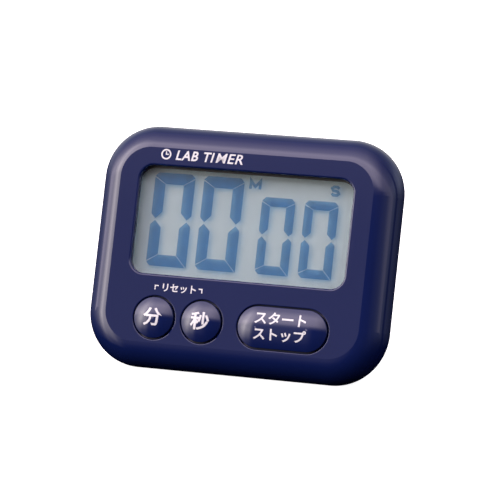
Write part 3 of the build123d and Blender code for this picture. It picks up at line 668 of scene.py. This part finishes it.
# radiance over the top, by degrees from the front horizon through the zenith
OVERHEAD = (
    (0, 0, LILAC), (26, 0, LILAC), (31, 0.7, LILAC), (36, 3.0, LILAC), (39, 3.8, LILAC),
    (55, 4.8, LILAC), (66, 2.9, LILAC), (74, 2.3, LILAC), (95, 1.1, LILAC), (119, 0.4, WHITE),
    (150, 0.35, WHITE), (175, 0.3, WHITE), (180, 0, WHITE),
)
# share of that by how far to the right the light comes from, as the x of its direction
ACROSS = ((-1, 0.5), (-0.85, 0.6), (-0.6, 1), (0.1, 1), (0.3, 0.75), (0.55, 0.35), (1, 0.15))
BRIGHTEST = 10.0


def light_ramp(tree, where, stops, low, high):
    """Radiance over an angle or a distance, from stops of place, strength and tint."""
    spread = high - low
    scaled = []
    for place_on_ramp, strength, *tint in stops:
        share = strength / BRIGHTEST if tint else strength
        colour = [share * channel for channel in (tint[0] if tint else WHITE)]
        scaled.append(((place_on_ramp - low) / spread, (*colour, 1)))
    return add_node(tree, "ShaderNodeValToRGB", {"stops": scaled},
                    {0: (where - low) * (1 / spread)})


def multiply(tree, first, second):
    """Product of two colours."""
    return add_node(tree, "ShaderNodeVectorMath", {"operation": "MULTIPLY"}, {0: first, 1: second})


def room_light(tree):
    """Soft light from the left and from above, dim at the right, dark in front and below."""
    direction = object_point(tree, "Generated")
    parts = [add_node(tree, "ShaderNodeSeparateXYZ", sockets={0: direction}, output=index)
             for index in range(3)]
    x, y, z = parts
    degrees = 180 / math.pi
    left = x.maths("ARCTAN2", x * -1.0, y * -1.0) * degrees
    up = z.maths("ARCSINE", z, 0.0) * degrees
    over = abs(z.maths("ARCTAN2", z, y * -1.0)) * (z > 0.0) * degrees
    sides = multiply(tree, light_ramp(tree, left, AROUND, -180, 180),
                     light_ramp(tree, up, AT_HEIGHT, -90, 90))
    top = multiply(tree, light_ramp(tree, over, OVERHEAD, 0, 180),
                   light_ramp(tree, x, ACROSS, -1, 1))
    return add_node(tree, "ShaderNodeVectorMath", {"operation": "ADD"}, {0: sides, 1: top})


class TIMER_OT_studio(bpy.types.Operator):
    """Pale floor, soft lights and the camera"""
    bl_idname = "timer.studio"
    bl_label = "Studio"

    def execute(self, context):
        studio = context.scene.timer_studio
        scene = context.scene
        scene.view_settings.view_transform = "Standard"
        scene.cycles.transparent_max_bounces = 24

        material, tree = new_tree("pale_floor")
        close_tree(tree, add_node(tree, "ShaderNodeBsdfPrincipled", sockets={
            "Base Color": (FLOOR_GREY, FLOOR_GREY, FLOOR_GREY, 1), "Roughness": FLOOR_GREY,
            "Emission Color": (1, 1, 1, 1), "Emission Strength": FLOOR_GREY}))
        bm = bmesh.new()
        bmesh.ops.create_grid(bm, x_segments=1, y_segments=1, size=FLOOR_SIZE)
        mesh = bpy.data.meshes.new("floor")
        bm.to_mesh(mesh)
        bm.free()
        mesh.materials.append(material)
        floor = bpy.data.objects.new("floor", mesh)
        scene.collection.objects.link(floor)
        floor.visible_glossy = False
        floor.visible_diffuse = False

        world = bpy.data.worlds.new("studio")
        world.use_nodes = True
        world.node_tree.nodes.clear()
        tree = world.node_tree
        room = add_node(tree, "ShaderNodeBackground", sockets={
            "Color": room_light(tree), "Strength": BRIGHTEST * studio.brightness})
        backdrop = add_node(tree, "ShaderNodeBackground", sockets={"Color": (1, 1, 1, 1)})
        seen = add_node(tree, "ShaderNodeLightPath")
        mixed = add_node(tree, "ShaderNodeMixShader", sockets={0: seen, 1: room, 2: backdrop})
        add_node(tree, "ShaderNodeOutputWorld", sockets={"Surface": mixed})
        scene.world = world

        a, e = studio.azimuth, studio.elevation
        back = Vector((math.sin(a) * math.cos(e), -math.cos(a) * math.cos(e), math.sin(e)))
        right = Vector((math.cos(a), math.sin(a), 0))
        aim = place(0, 0) + (right * AIM_RIGHT + back.cross(right) * AIM_UP) * MM
        lens = bpy.data.cameras.new("camera")
        lens.lens = studio.lens
        lens.sensor_width = 36
        lens.clip_start = 0.05
        lens.clip_end = 20
        camera = bpy.data.objects.new("camera", lens)
        scene.collection.objects.link(camera)
        camera.location = aim + back * studio.distance
        camera.rotation_mode = "QUATERNION"
        camera.rotation_quaternion = back.to_track_quat("Z", "Y")
        scene.camera = camera
        return {"FINISHED"}


STEPS = (
    TIMER_OT_shells, TIMER_OT_keys, TIMER_OT_display, TIMER_OT_board, TIMER_OT_power,
    TIMER_OT_face_print, TIMER_OT_key_print, TIMER_OT_back_marks, TIMER_OT_studio,
)


class TIMER_PT_panel(bpy.types.Panel):
    """Lists the steps that finish the timer"""
    bl_idname = "TIMER_PT_panel"
    bl_label = "Bench Timer"
    bl_space_type = "VIEW_3D"
    bl_region_type = "UI"
    bl_category = "Timer"

    def draw(self, context):
        for group in (context.scene.timer_finish, context.scene.timer_studio):
            for name in group.__annotations__:
                self.layout.prop(group, name)
        for step in STEPS:
            self.layout.operator(step.bl_idname)


CLASSES = (TimerFinish, TimerStudio, *STEPS, TIMER_PT_panel)


def register():
    for each in CLASSES:
        bpy.utils.register_class(each)
    bpy.types.Scene.timer_finish = PointerProperty(type=TimerFinish)
    bpy.types.Scene.timer_studio = PointerProperty(type=TimerStudio)


def unregister():
    del bpy.types.Scene.timer_studio
    del bpy.types.Scene.timer_finish
    for each in reversed(CLASSES):
        bpy.utils.unregister_class(each)


def main():
    register()
    for step in STEPS:
        group, name = step.bl_idname.split(".")
        getattr(getattr(bpy.ops, group), name)()


if __name__ == "__main__":
    main()
